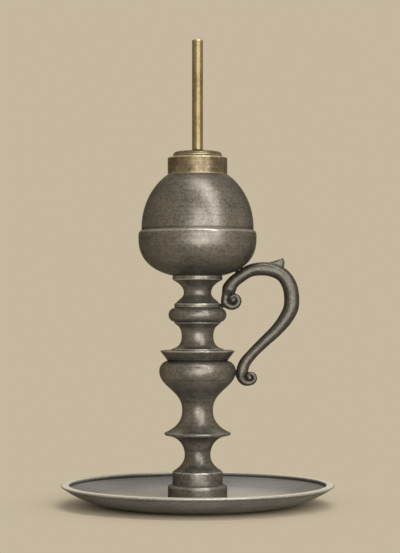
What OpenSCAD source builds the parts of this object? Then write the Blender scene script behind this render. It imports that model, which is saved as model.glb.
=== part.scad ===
// Camphene lamp: a pewter fount on a turned stem, standing in a saucer,
// with a scrolled side handle and a brass screw burner with one wick tube.
// Millimetres, +Z up. The origin is the centre of the saucer's underside,
// and the handle lies in the XZ plane, towards +X.

/* [Saucer] */
// Radius over the rim
saucer_rim_r = 82; // [74:1:90]
// Radius of the flat disc that the lamp stands on
saucer_flat_r = 46; // [38:1:54]
// Height of the rim above the table
saucer_rim_h = 12.4; // [9:0.2:16]
// Width of the flat band on top of the rim
rim_band_w = 4.9; // [3:0.1:7]
// Thickness of the rim at its rounded outer edge
rim_edge_t = 1.2; // [0.8:0.1:1.8]
// Thickness of the saucer
saucer_wall = 1.8; // [1.2:0.1:2.6]

/* [Foot] */
// Radius of the lower step
foot_ring_r = 17.8; // [16.5:0.1:22]
// Height of the lower step
foot_ring_h = 10.4; // [7:0.2:14]
// Rounding along the top edge of the lower step
foot_ring_round = 1.8; // [0.6:0.1:2.4]
// Radius of the upper step
step_r = 15; // [13.5:0.1:16.2]
// Height of the upper step
step_h = 7.9; // [5:0.1:11]

/* [Pedestal] */
// Height of the pedestal from its step to the seam in the lower flange
pedestal_h = 22.5; // [18:0.5:28]
// Height of its waist over the step
pedestal_waist_h = 9.9; // [8:0.1:12]
// Radius of its waist
pedestal_waist_r = 7.7; // [6.5:0.1:9]
// Radius of the lower flange
low_flange_r = 19.9; // [18:0.1:23]
// Thickness of the lower flange
low_flange_t = 1.8; // [1.2:0.1:2.6]

/* [Urn] */
// Height from the flange seam to the urn's narrow neck
urn_foot_h = 14.3; // [12:0.5:18]
// Radius of the narrow neck
urn_neck_r = 9.2; // [8:0.1:10.5]
// Height from the narrow neck to the widest line
urn_body_h = 23.3; // [20:0.5:28]
// Radius at the widest line
urn_r = 23; // [21.5:0.1:25]
// Height of the round shoulder over the widest line
urn_shoulder_h = 6.3; // [5:0.1:8]
// Radius of the groove over the shoulder
urn_groove_r = 18; // [16.5:0.1:19.5]
// Height of the cone from the groove to the upper flange
urn_cone_h = 6.2; // [5:0.1:8]
// Radius of the upper flange
high_flange_r = 22.4; // [20:0.1:25]

/* [Stem and knop] */
// Radius of the foot of the stem on the upper flange
stem_foot_r = 15.6; // [14:0.1:17]
// Thickness of that foot at its edge
stem_foot_t = 0.8; // [0.6:0.1:1.2]
// Height from the upper flange to the stem's waist
stem_low_h = 8.6; // [7:0.2:11]
// Radius of the stem's waist
stem_waist_r = 9.5; // [8.5:0.1:10.5]
// Height from the waist to the knop
stem_high_h = 5.4; // [4:0.1:8]
// Radius of the stem just under the knop
stem_top_r = 11.1; // [10:0.1:12]
// Height of the cone under the knop's bead
knop_cone_h = 3; // [2:0.1:4]
// Radius of the knop where its bead begins
knop_root_r = 13.6; // [12.6:0.1:14.6]
// Radius over the knop's bead
knop_r = 17.4; // [16:0.1:19]
// Half of the height of the bead
knop_half_h = 4.2; // [3.4:0.1:5]
// Radius of the ring over the bead
knop_ring_r = 13.9; // [13:0.1:15]
// Height of the ring over the bead
knop_ring_h = 2.8; // [2:0.1:4]
// Height from the ring to the narrowest line under the fount
neck_low_h = 6.2; // [5:0.1:8]
// Radius of the narrowest line under the fount
neck_r = 8.2; // [7.2:0.1:9.2]
// Height from the narrowest line to the fount's seat
neck_high_h = 7.6; // [6:0.1:9]
// Radius of the fount's seat
seat_r = 15; // [13.6:0.1:16.4]
// Height of the fount's seat
seat_h = 2.8; // [2:0.1:4]

/* [Fount] */
// Radius of the bowl at its widest
bowl_r = 35.4; // [33:0.2:39]
// Depth of the full bowl under its widest line
bowl_depth = 24; // [21:0.5:28]
// Fullness of the bowl, where 2 is an ellipse
bowl_fullness = 2.4; // [2:0.1:3]
// Height of the bowl's straight side and rounded lip
bowl_lip_h = 4.5; // [3.4:0.1:6]
// Height of the lip's rounding
bowl_lip_round = 3.2; // [2:0.1:3.4]
// Radius of the dome where it stands on the lip
dome_r = 33.6; // [31:0.2:34.4]
// Height of the full dome over its widest line
dome_rise = 37.8; // [34:0.2:42]
// Height of the dome's straight side
dome_side_h = 1.5; // [0.5:0.1:3]

/* [Walls] */
// Thickness of the hollow pewter castings
cast_wall = 2; // [1.6:0.1:2.4]
// Thickness of the fount's wall
fount_wall = 1.8; // [1.4:0.1:2.2]
// Length of the spigot that centres one casting in the next
lap_h = 1.6; // [1:0.1:2.2]
// Thickness of that spigot
lap_t = 1.3; // [1:0.1:1.6]
// Clearance round a soldered spigot
solder_fit = 0.1; // [0.05:0.01:0.2]
// Film of solder between the handle and what it is soldered to
solder_film = 0.12; // [0.05:0.01:0.2]
// Width of the joint face at the lower flange's seam
low_face_w = 7; // [5.5:0.1:8]
// Width of the joint face under the foot of the stem
stem_face_w = 4; // [3:0.1:5]

/* [Collar] */
// Radius of the brass collar
collar_r = 17.9; // [17:0.1:19.5]
// Height of the brass collar
collar_h = 10.5; // [9.6:0.1:13]
// Thickness of the collar's skirt
collar_skirt_t = 2.2; // [1.6:0.1:2.6]
// Thickness of the collar's top
collar_top_t = 4.4; // [3.4:0.1:5]
// Rounding of the collar's top edge
collar_round = 1; // [0.4:0.1:1.6]
// Thickness of the pewter neck inside the skirt
fount_neck_t = 2.5; // [2:0.1:3]

/* [Screw thread] */
// Radius of the plug's threaded part, without its thread
plug_r = 10.6; // [10:0.1:11]
// Height of the thread over the plug
thread_depth = 0.7; // [0.5:0.05:0.8]
// Rise of the thread in one turn
thread_pitch = 1.8; // [1.6:0.1:2]
// Turns of thread on the plug
thread_turns = 3; // [2:0.5:3.5]
// Width of the thread at its root
thread_root_w = 0.95; // [0.8:0.05:1]
// Width of the thread at its crest
thread_crest_w = 0.4; // [0.3:0.05:0.5]
// Clearance all round the thread
thread_play = 0.2; // [0.15:0.01:0.22]

/* [Burner] */
// Radius of the burner cap
cap_r = 14.6; // [13.8:0.1:15.6]
// Thickness of the burner cap
cap_t = 2.8; // [2.4:0.1:4]
// Rounding of the cap's top edge, measured downwards
cap_round_h = 2; // [1:0.1:2.2]
// Rounding of the cap's top edge, measured inwards
cap_round_w = 2.6; // [1.4:0.1:3.2]
// Length of the plug under the washer
plug_len = 7.6; // [7:0.1:9]
// Wall of the hollow plug
plug_wall = 1.6; // [1.2:0.1:2]
// Thickness of the leather washer
washer_t = 0.6; // [0.4:0.1:1]
// Width of the leather washer
washer_w = 2.2; // [1.6:0.1:2.4]
// Distance of the washer's edge inside the cap's edge
washer_inset = 0.8; // [0.4:0.1:1.2]

/* [Wick tube and wick] */
// Radius of the wick tube
tube_r = 3.25; // [2.8:0.05:3.8]
// Thickness of the tube's wall
tube_wall = 0.5; // [0.4:0.05:0.6]
// Height of the tube over the burner cap
tube_h = 67.2; // [50:0.5:80]
// Depth of the boss that holds the tube, under the cap
boss_h = 2.5; // [1.5:0.1:4]
// Radius of that boss
boss_r = 5.6; // [5:0.1:7]
// Depth of the step under which the tube is drawn down to fit its boss
tube_step = 0.2; // [0.16:0.01:0.3]
// Height of that step over the burner cap
tube_step_h = 1; // [0.5:0.1:3]
// Length of the tube that stands out under the boss
tube_stub = 1; // [0:0.1:2]
// Clearance of the tube in its boss
tube_fit = 0.05; // [0.02:0.01:0.1]
// Clearance of the wick in the tube
wick_play = 0.35; // [0.25:0.05:0.5]
// Depth of the wick's top under the tube's rim
wick_sink = 0.6; // [0.2:0.1:2]
// Height of the wick's lower end over the floor of the bowl
wick_clear = 6.5; // [4:0.5:20]

/* [Handle] */
// Reach of the bar's middle from the line through its soldered contacts
handle_reach = 43.5; // [40:0.5:48]
// Width of the bar where it is widest
bar_w = 9.1; // [8.4:0.1:9.8]
// Depth of the spur, from side to side
spur_w = 4.6; // [3:0.1:6]

/* [Hidden] */
$fn = 96;

pewter = "#7d766b";
dark_pewter = "#6b655e";
brass = "#9a8457";
pale_brass = "#ab9465";

// Steps in which a small curve of an outline, a large one and a small arc are drawn
curve_steps = 12;
round_steps = 24;
arc_steps = 6;
// Parallel overlap with which solids of one piece are joined
joined = 0.4;
// Small rounding of the castings' corners
corner = 0.5;
// Ledge inside a seam, beside the bore of its spigot
ledge = 1;
// A seat is this much wider than what stands on it
seat_margin = 0.3;

// Heights of the seams and turning points, from the table up
z_ring_top = saucer_wall + foot_ring_h;
z_step_top = z_ring_top + step_h;
z_low_seam = z_step_top + pedestal_h;
z_urn_neck = z_low_seam + urn_foot_h;
z_urn_wide = z_urn_neck + urn_body_h;
z_groove = z_urn_wide + urn_shoulder_h;
z_high_seam = z_groove + urn_cone_h;
z_waist = z_high_seam + stem_low_h;
z_cone = z_waist + stem_high_h;
z_bead_foot = z_cone + knop_cone_h;
z_bead = z_bead_foot + knop_half_h;
z_bead_top = z_bead + knop_half_h;
z_ring = z_bead_top + knop_ring_h;
z_neck = z_ring + neck_low_h;
z_seat = z_neck + neck_high_h;
z_bowl = z_seat + seat_h;

// Superellipse of the bowl, its flat underside a little wider than the seat
bowl_flat_r = seat_r + seat_margin;
function fuller(x) = pow(1 - pow(min(1, abs(x)), bowl_fullness), 1 / bowl_fullness);
z_bowl_wide = z_bowl + bowl_depth * fuller(bowl_flat_r / bowl_r);
z_lip = z_bowl_wide + bowl_lip_h;
z_dome_wide = z_lip + dome_side_h;

// The dome ends where it is wide enough for the collar
shoulder_r = collar_r + seat_margin;
z_shoulder = z_dome_wide + dome_rise * sqrt(1 - pow(shoulder_r / dome_r, 2));
z_collar = z_shoulder + collar_h;
z_cap = z_collar + washer_t;
z_cap_top = z_cap + cap_t;
z_tube_step = z_cap_top + tube_step_h;
z_tube_top = z_cap_top + tube_h;

// The pewter neck stands between the collar's skirt and its threaded sleeve
neck_out_r = collar_r - collar_skirt_t - solder_fit;
neck_in_r = neck_out_r - fount_neck_t;
z_neck_top = z_collar - collar_top_t;
sleeve_r = neck_in_r - solder_fit;
thread_bore_r = plug_r + thread_play;

// Widest bores of the castings at their seams
foot_bore_r = step_r - cast_wall - 2 * ledge;
low_bore_r = low_flange_r - low_face_w;
stem_bore_r = stem_foot_r - stem_face_w;
bead_bore_r = knop_r - cast_wall - ledge;
seat_bore_r = neck_r - cast_wall + ledge;

// Point lists of arcs and smooth curves, as [radius, height]
function arc(cx, cz, rx, rz, from, to, steps = curve_steps) =
    [for (i = [0 : steps]) let (a = from + (to - from) * i / steps)
        [cx + rx * cos(a), cz + rz * sin(a)]];
function bezier(p, steps = curve_steps) =
    [for (i = [0 : steps]) let (t = i / steps, s = 1 - t)
        s * s * s * p[0] + 3 * s * s * t * p[1] + 3 * s * t * t * p[2] + t * t * t * p[3]];

// Smooth curve from a to b, without its first point. The two pulls are the shares of the way,
// [across, up], along which it leaves a and reaches b
function curved(a, b, pull_a, pull_b, steps = curve_steps) = let (way = b - a,
    whole = bezier([a, a + [way[0] * pull_a[0], way[1] * pull_a[1]],
        b - [way[0] * pull_b[0], way[1] * pull_b[1]], b], steps))
    [for (i = [1 : steps]) whole[i]];
function reversed(list) = [for (i = [len(list) - 1 : -1 : 0]) list[i]];
function inwards(list, bore) = [for (p = list) [min(bore, p[0] - cast_wall), p[1]]];
function within(list, low, high) = [for (p = list) if (p[1] > low && p[1] < high) p];

// Solid turned from an outline, and a filled one from the curve of its outside
module turned(outline) {
    rotate_extrude() polygon(outline);
}
module filled(curve) {
    turned(concat([[0, curve[0][1]]], curve, [[0, curve[len(curve) - 1][1]]]));
}

// Ring under a seam that centres a casting in the bore of the one below it
module spigot(bore, z) {
    turned([
        [bore - solder_fit - lap_t, z - lap_h],
        [bore - solder_fit, z - lap_h],
        [bore - solder_fit, z],
        [bore + joined, z],
        [bore + joined, z + lap_h],
        [bore - solder_fit - lap_t, z + lap_h]
    ]);
}

// Saucer: a flat bottom that turns up along one arc to a flat rim with a rounded edge
edge_r = rim_edge_t / 2;
saucer_side = saucer_rim_r - edge_r - saucer_flat_r;
saucer_under_h = saucer_rim_h - rim_edge_t;
saucer_arc_r = (pow(saucer_side, 2) + pow(saucer_under_h, 2)) / (2 * saucer_under_h);
saucer_in_r = saucer_arc_r - saucer_wall;
band_in_r = saucer_rim_r - rim_band_w;

module saucer() color(pewter) {
    under = arc(saucer_flat_r, saucer_arc_r, saucer_arc_r, saucer_arc_r,
        -90, -90 + asin(saucer_side / saucer_arc_r));
    rim = arc(saucer_rim_r - edge_r, saucer_rim_h - edge_r, edge_r, edge_r, -90, 90);
    inside = arc(saucer_flat_r, saucer_arc_r, saucer_in_r, saucer_in_r,
        -90 + asin((band_in_r - saucer_flat_r) / saucer_in_r), -90);
    turned(concat([[0, 0]], under, rim, [[band_in_r, saucer_rim_h]], inside, [[0, saucer_wall]]));
}

// Lower step: a hollow ring with a round top edge, soldered to the saucer's floor
module foot_ring() color(dark_pewter) {
    turned(concat(
        [[foot_ring_r - cast_wall, saucer_wall], [foot_ring_r, saucer_wall]],
        arc(foot_ring_r - foot_ring_round, z_ring_top - foot_ring_round,
            foot_ring_round, foot_ring_round, 0, 90, arc_steps),
        [[foot_bore_r, z_ring_top], [foot_bore_r, z_ring_top - cast_wall],
         [foot_ring_r - cast_wall, z_ring_top - cast_wall]]
    ));
}

// Pedestal: the upper step, a trumpet and the lower half of the lower flange
half_flange = low_flange_t / 2;
flange_edge_r = low_flange_r - half_flange;
z_pedestal_waist = z_step_top + pedestal_waist_h;
function pedestal_curve() = let (waist = [pedestal_waist_r, z_pedestal_waist],
    cove_start = [step_r - 2 * corner, z_step_top + corner]) concat(
    [[step_r, z_ring_top]],
    arc(step_r - corner, z_step_top - corner, corner, corner, 0, 60, arc_steps),
    [cove_start],
    curved(cove_start, waist, [0.48, 0.19], [0, 0.49]),
    curved(waist, [flange_edge_r, z_low_seam - half_flange], [0, 0.4], [0.77, 0.09]),
    arc(flange_edge_r, z_low_seam, half_flange, half_flange, -75, 0, arc_steps)
);

module pedestal() color(pewter) {
    outside = pedestal_curve();
    z_bore = z_low_seam - lap_h - corner;
    spigot_out_r = foot_bore_r - solder_fit;
    hollow = concat(
        [[step_r - cast_wall, z_ring_top + cast_wall]],
        inwards(within(outside, z_step_top, z_bore - corner), low_bore_r),
        [[low_bore_r, z_bore], [low_bore_r, z_low_seam]]
    );
    turned(concat(outside, reversed(hollow),
        [[spigot_out_r - lap_t, z_ring_top + cast_wall], [spigot_out_r - lap_t, z_ring_top - lap_h],
         [spigot_out_r, z_ring_top - lap_h], [spigot_out_r, z_ring_top]]
    ));
}

// Lower half of the urn: half of the flange, a cove, the narrow neck and the bowl shape
function urn_lower_curve() = let (cove_start = [flange_edge_r, z_low_seam + half_flange],
    waist = [urn_neck_r, z_urn_neck]) concat(
    arc(flange_edge_r, z_low_seam, half_flange, half_flange, 0, 90, arc_steps),
    curved(cove_start, waist, [0.71, 0.25], [0, 0.45]),
    curved(waist, [urn_r, z_urn_wide], [0, 0.5], [0, 0.42], round_steps)
);

module urn_lower() color(pewter) {
    outside = urn_lower_curve();
    spigot_out_r = low_bore_r - solder_fit;
    hollow = concat(
        [[spigot_out_r - lap_t, z_low_seam - lap_h]],
        inwards(within(outside, z_low_seam + half_flange, z_urn_neck), spigot_out_r - lap_t),
        inwards(within(outside, z_urn_neck, z_urn_wide), urn_r),
        [[urn_r - cast_wall, z_urn_wide]]
    );
    turned(concat(
        [[spigot_out_r, z_low_seam - lap_h], [spigot_out_r, z_low_seam]],
        outside, reversed(hollow)
    ));
}

// Upper half of the urn: the shoulder, the groove and the cone under the upper flange
shoulder_root_r = urn_groove_r - 2 * corner;
shoulder_turn = 80;
function urn_upper_curve() = concat(
    arc(shoulder_root_r, z_urn_wide, urn_r - shoulder_root_r, urn_shoulder_h, 0, shoulder_turn),
    [[urn_groove_r, z_groove],
     [high_flange_r, z_high_seam - corner],
     [high_flange_r - corner, z_high_seam]]
);

module urn_upper() color(pewter) {
    hollow = [[urn_r - cast_wall, z_urn_wide],
        [urn_groove_r - cast_wall, z_groove], [urn_groove_r - cast_wall, z_high_seam - cast_wall],
        [stem_bore_r, z_high_seam - cast_wall], [stem_bore_r, z_high_seam]];
    turned(concat(urn_upper_curve(), reversed(hollow)));
    spigot(urn_r - cast_wall, z_urn_wide);
}

// Stem: a foot on the flange, a cove and the lower half of the knop
function stem_curve() = let (foot = [stem_foot_r, z_high_seam + stem_foot_t],
    waist = [stem_waist_r, z_waist], top = [stem_top_r, z_cone]) concat(
    [[stem_foot_r, z_high_seam], foot],
    curved(foot, waist, [0.74, 0.12], [0, 0.56]),
    curved(waist, top, [0, 0.43], [0.56, 0.2]),
    [[knop_root_r + corner, z_bead_foot - corner]],
    arc(knop_root_r, z_bead, knop_r - knop_root_r, knop_half_h, -90, 0)
);

module stem() color(pewter) {
    outside = stem_curve();
    spigot_out_r = stem_bore_r - solder_fit;
    hollow = concat(
        [[spigot_out_r - lap_t, z_high_seam - lap_h]],
        inwards(within(outside, z_high_seam + stem_foot_t, z_waist), spigot_out_r - lap_t),
        inwards(within(outside, z_waist, z_bead_foot), bead_bore_r),
        [[bead_bore_r, z_bead - lap_h - corner], [bead_bore_r, z_bead]]
    );
    turned(concat(
        [[spigot_out_r, z_high_seam - lap_h], [spigot_out_r, z_high_seam]],
        outside, reversed(hollow)
    ));
}

// Neck of the fount: the upper half of the knop, its ring, a cove and the fount's seat
function fount_neck_curve() = let (cove_start = [knop_ring_r - 2 * corner, z_ring],
    narrow = [neck_r, z_neck]) concat(
    arc(knop_root_r, z_bead, knop_r - knop_root_r, knop_half_h, 0, 90),
    [[knop_ring_r, z_bead_top + corner]],
    arc(knop_ring_r - corner, z_ring - corner, corner, corner, 0, 90, arc_steps),
    [cove_start],
    curved(cove_start, narrow, [0.19, 0.3], [0, 0.47]),
    curved(narrow, [seat_r - corner, z_seat], [0, 0.47], [0.56, 0.25]),
    arc(seat_r - corner, z_seat + corner, corner, corner, -60, 0, arc_steps),
    arc(seat_r - corner, z_bowl - corner, corner, corner, 0, 90, arc_steps)
);

module fount_neck() color(pewter) {
    outside = fount_neck_curve();
    hollow = concat(
        [[bead_bore_r, z_bead], [bead_bore_r, z_bead + lap_h]],
        inwards(within(outside, z_bead_top, z_neck), bead_bore_r),
        [[seat_bore_r, z_bowl]]
    );
    turned(concat(outside, reversed(hollow)));
    spigot(bead_bore_r, z_bead);
}

// Bowl: a full round underside, a straight side and a rounded lip with an inner ring
dome_bore_r = dome_r - fount_wall;
function bowl_curve() = concat(
    [for (i = [0 : round_steps])
        let (r = bowl_flat_r + (bowl_r - bowl_flat_r) * sin(90 * i / round_steps))
        [r, z_bowl_wide - bowl_depth * fuller(r / bowl_r)]],
    [[bowl_r, z_lip - bowl_lip_round]],
    curved([bowl_r, z_lip - bowl_lip_round], [dome_r, z_lip], [0, 0.56], [0.75, 0.12])
);

module fount_bowl() color(pewter) {
    ring_r = dome_bore_r - solder_fit;
    inner_r = bowl_r - fount_wall;
    inner_depth = z_bowl_wide - z_bowl - fount_wall;
    power = 2 / bowl_fullness;
    inside = [for (i = [0 : round_steps]) let (a = 90 * i / round_steps)
        [inner_r * pow(cos(a), power), z_bowl_wide - inner_depth * pow(sin(a), power)]];
    turned(concat(
        [[0, z_bowl]], bowl_curve(),
        [[ring_r, z_lip], [ring_r, z_lip + lap_h], [ring_r - lap_t, z_lip + lap_h],
         [ring_r - lap_t, z_lip - corner]],
        inside
    ));
}

// Dome: rises from the lip to a shoulder, with a neck that the collar is soldered over
function dome_angle(end_r, wide_r) = acos(end_r / wide_r);
module fount_dome() color(pewter) {
    outer = arc(0, z_dome_wide, dome_r, dome_rise, 0, dome_angle(shoulder_r, dome_r), round_steps);
    inner = arc(0, z_dome_wide, dome_bore_r, dome_rise - fount_wall,
        dome_angle(neck_in_r, dome_bore_r), 0, round_steps);
    turned(concat(
        [[dome_bore_r, z_lip], [dome_r, z_lip]], outer,
        [[neck_out_r, z_shoulder], [neck_out_r, z_neck_top], [neck_in_r, z_neck_top]],
        inner
    ));
}

// Thread as one unbroken ridge that climbs round the axis, in this many flats a turn
thread_steps = 30;
module ridge(root_r, crest_r, root_w, crest_w, z, turns) {
    rings = round(turns * thread_steps);
    section = [[root_r, -root_w / 2], [crest_r, -crest_w / 2], [crest_r, crest_w / 2], [root_r, root_w / 2]];
    points = [for (i = [0 : rings])
        let (a = 360 * i / thread_steps, h = z + thread_pitch * i / thread_steps)
        each [for (p = section) [p[0] * cos(a), p[0] * sin(a), h + p[1]]]];
    sides = [for (i = [0 : rings - 1], k = [0 : 3]) let (n = (k + 1) % 4)
        each [[4 * i + k, 4 * (i + 1) + n, 4 * (i + 1) + k], [4 * i + k, 4 * i + n, 4 * (i + 1) + n]]];
    last = 4 * rings;
    polyhedron(points, concat(sides, [[2, 1, 0], [3, 2, 0]],
        [[last, last + 1, last + 2], [last, last + 2, last + 3]]));
}
z_thread = z_cap - plug_len + thread_root_w;

// Collar: a skirt outside the pewter neck, a thick top and a sleeve with the inner thread,
// which ends this far over the skirt's lower edge
sleeve_lift = 0.8;
module collar() color(brass) {
    sleeve_z = z_shoulder + sleeve_lift;
    groove_turns_below = ceil((z_thread - sleeve_z + thread_root_w) / thread_pitch);
    difference() {
        turned(concat(
            [[collar_r - collar_skirt_t, z_shoulder], [collar_r, z_shoulder]],
            arc(collar_r - collar_round, z_collar - collar_round,
                collar_round, collar_round, 0, 90, arc_steps),
            [[thread_bore_r, z_collar], [thread_bore_r, sleeve_z], [sleeve_r, sleeve_z],
             [sleeve_r, z_neck_top], [collar_r - collar_skirt_t, z_neck_top]]
        ));
        ridge(thread_bore_r - joined, thread_bore_r + thread_depth,
            thread_root_w + 2 * thread_play, thread_crest_w + 2 * thread_play,
            z_thread - groove_turns_below * thread_pitch,
            groove_turns_below + ceil((z_collar - z_thread + thread_root_w) / thread_pitch));
    }
}

// Leather washer between the collar and the cap
module washer() color("#5d4630") {
    washer_r = cap_r - washer_inset;
    turned([[washer_r - washer_w, z_collar], [washer_r, z_collar],
        [washer_r, z_cap], [washer_r - washer_w, z_cap]]);
}

// Burner cap: a rounded plate, a hollow threaded plug and a boss for the tube
module burner_cap() color(brass) {
    hole_r = tube_r - tube_step + tube_fit;
    plug_z = z_cap - plug_len;
    turned(concat(
        [[hole_r, z_cap - boss_h], [boss_r, z_cap - boss_h], [boss_r, z_cap],
         [plug_r - plug_wall, z_cap], [plug_r - plug_wall, plug_z], [plug_r, plug_z],
         [plug_r, z_cap], [cap_r, z_cap]],
        arc(cap_r - cap_round_w, z_cap_top - cap_round_h, cap_round_w, cap_round_h, 0, 90),
        [[hole_r, z_cap_top]]
    ));
    ridge(plug_r - joined, plug_r + thread_depth, thread_root_w, thread_crest_w, z_thread, thread_turns);
}

// Wick tube, open at both ends, with a rounded rim
module wick_tube() color(pale_brass) {
    low = z_cap - boss_h - tube_stub;
    half = tube_wall / 2;
    turned(concat(
        [[tube_r - tube_wall, low], [tube_r - tube_step, low], [tube_r - tube_step, z_tube_step],
         [tube_r, z_tube_step]],
        arc(tube_r - half, z_tube_top - half, half, half, 0, 180, arc_steps)
    ));
}

// Round cotton wick from inside the bowl to just under the tube's rim
module wick() color("#cfc4a8") {
    low = z_bowl + fount_wall + wick_clear;
    translate([0, 0, low])
        cylinder(r = tube_r - tube_wall - wick_play, h = z_tube_top - wick_sink - low);
}

// Places on the handle: out is measured from the line that joins its two soldered
// contacts, on the urn and on the knop ring, and rise is a percentage of its height
handle_span = z_ring - z_urn_wide;
function on_handle(out, rise) =
    [urn_r + (knop_ring_r - urn_r) * rise / 100 + out, z_urn_wide + handle_span * rise / 100];

// Turns of a scroll round its eye, as [angle, radius to the bar's middle, width, depth],
// in degrees and in percentages of the bar's width
upper_turns = [[180, 54.9, 49.5, 65.9], [200, 54.4, 53.8, 65.9], [225, 49.5, 45.1, 57.1],
    [270, 44, 39.6, 48.4], [315, 40.7, 38.5, 44], [360, 37.4, 37.4, 40.7], [405, 33.5, 33, 37.4],
    [450, 28.6, 27.5, 33], [495, 22, 24.2, 28.6], [540, 16.5, 19.8, 26.4], [580, 13.7, 16.5, 24.2],
    [605, 12.6, 14.3, 22]];
lower_turns = [[180, 55.5, 57.1, 68.1], [225, 42.9, 42.9, 54.9], [270, 34.1, 34.1, 46.2],
    [315, 34.1, 32.4, 40.7], [360, 34.6, 30.8, 36.3], [405, 32.4, 27.5, 31.9], [450, 26.9, 22, 27.5],
    [495, 17.6, 16.5, 23.1], [540, 13.7, 14.3, 20.9], [570, 12.1, 13.2, 18.7]];

// Each scroll touches the line through the contacts with its first turn, give or take this much
upper_scroll_off = 0.55;
lower_scroll_off = -0.35;
upper_rise = 104.4;
lower_rise = -10;
function scroll_reach(turns) = (turns[0][1] + turns[0][2] / 2) * bar_w / 100;
upper_eye = on_handle(scroll_reach(upper_turns) + upper_scroll_off, upper_rise);
lower_eye = on_handle(scroll_reach(lower_turns) + lower_scroll_off, lower_rise);

// The bar between the scrolls, as [out, rise, width]: out is a percentage of the handle's
// reach, and width is one of the bar's width
bar_line = [[9.2, 110.8, 54.9], [15.6, 120.5, 92.3], [21.8, 128.7, 84.6], [35.6, 139.4, 81.3],
    [50.8, 147.9, 82.4], [66.2, 150.6, 87.9], [80.2, 149.1, 90.1], [94.3, 141, 92.3],
    [100, 127.8, 97.8], [99.8, 109.3, 100], [95.4, 93.1, 100], [85.7, 78.4, 93.4], [69, 60.7, 81.3],
    [48, 43, 73.6], [27.8, 25.3, 70.3], [14, 10.6, 75.8], [8.3, -0.5, 76.9]];

function scroll_points(eye, turns) = [for (t = turns) let (radius = t[1] * bar_w / 100)
    [eye[0] + radius * cos(t[0]), eye[1] + radius * sin(t[0]), t[2] * bar_w / 100, t[3] * bar_w / 100]];
function bar_place(b) = on_handle(b[0] * handle_reach / 100, b[1]);
function bar_points() = [for (b = bar_line) let (p = bar_place(b), width = b[2] * bar_w / 100)
    [p[0], p[1], width, width]];
handle_points = concat(reversed(scroll_points(upper_eye, upper_turns)), bar_points(),
    scroll_points(lower_eye, lower_turns));

// Smooth curve through the points: each point's slope is weighted by the lengths beside it
function gap(p, i) = norm([p[i + 1][0] - p[i][0], p[i + 1][1] - p[i][1]]);
function slope(p, i) = i == 0 ? (p[1] - p[0]) / gap(p, 0)
    : i == len(p) - 1 ? (p[i] - p[i - 1]) / gap(p, i - 1)
    : let (a = gap(p, i - 1), b = gap(p, i))
        ((p[i] - p[i - 1]) / a * b + (p[i + 1] - p[i]) / b * a) / (a + b);
function eased(p, i, t) = let (h = gap(p, i), s = 1 - t)
    s * s * (1 + 2 * t) * p[i] + t * t * (3 - 2 * t) * p[i + 1]
    + h * t * s * s * slope(p, i) - h * t * t * s * slope(p, i + 1);
function drawn(p, steps) = concat(
    [for (i = [0 : len(p) - 2], k = [0 : steps - 1]) eased(p, i, k / steps)], [p[len(p) - 1]]);

// Bar swept along the curve, with rings across it and flat ends. Each ring has this many
// sides, and this many rings lead from one point to the next
bar_sides = 14;
bar_steps = 3;
module swept_bar(path) {
    count = len(path);
    rings = [for (i = [0 : count - 1])
        let (a = path[max(0, i - 1)], b = path[min(count - 1, i + 1)],
            run = [b[0] - a[0], b[1] - a[1]] / norm([b[0] - a[0], b[1] - a[1]]),
            p = path[i])
        each [for (k = [0 : bar_sides - 1]) let (w = 360 * k / bar_sides,
            across = p[2] / 2 * cos(w), deep = p[3] / 2 * sin(w))
            [p[0] - run[1] * across, deep, p[1] + run[0] * across]]];
    sides = [for (i = [0 : count - 2], k = [0 : bar_sides - 1])
        let (n = (k + 1) % bar_sides, low = bar_sides * i, high = bar_sides * (i + 1))
        each [[low + k, high + n, high + k], [low + k, low + n, high + n]]];
    last = bar_sides * (count - 1);
    polyhedron(rings, concat(sides,
        [[for (k = [bar_sides - 1 : -1 : 0]) k]], [[for (k = [0 : bar_sides - 1]) last + k]]));
}

// Pointed spur for the thumb on top of the bar, as [out, rise] in percentages like the bar's
spur_line = [[82.3, 151.5], [88.7, 160.9], [94.7, 163.2], [99.1, 166.6], [100.9, 163.1], [100.7, 159],
    [97.9, 152.6], [89.7, 146.6]];
module spur() {
    rotate([90, 0, 0]) linear_extrude(spur_w, center = true)
        polygon([for (p = spur_line) bar_place(p)]);
}

// Handle: one casting of the bar and its spur, with a film of solder left at its contacts
function outwards(list, film) = [for (p = list) [p[0] + film, p[1]]];
module handle() color(dark_pewter) {
    difference() {
        union() {
            swept_bar(drawn(handle_points, bar_steps));
            spur();
        }
        translate([0, 0, -solder_film]) filled(outwards(concat([[0, z_bowl]], bowl_curve()), solder_film));
        filled(outwards(fount_neck_curve(), solder_film));
        filled(outwards(concat(urn_lower_curve(), urn_upper_curve()), solder_film));
    }
}

saucer();
foot_ring();
pedestal();
urn_lower();
urn_upper();
stem();
fount_neck();
fount_bowl();
fount_dome();
collar();
washer();
burner_cap();
wick_tube();
wick();
handle();
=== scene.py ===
# %% [markdown]
# # A camphene lamp of pewter and brass
# The real lamp is a pewter candlestick form: a dish to catch drips, a turned foot and stem,
# an egg-shaped fuel fount, and a brass screw burner with one tall tube for the wick.
# The solids of the frame give every size and place. This script gives each of them a finished
# surface, so the frame is loaded first.

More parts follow.
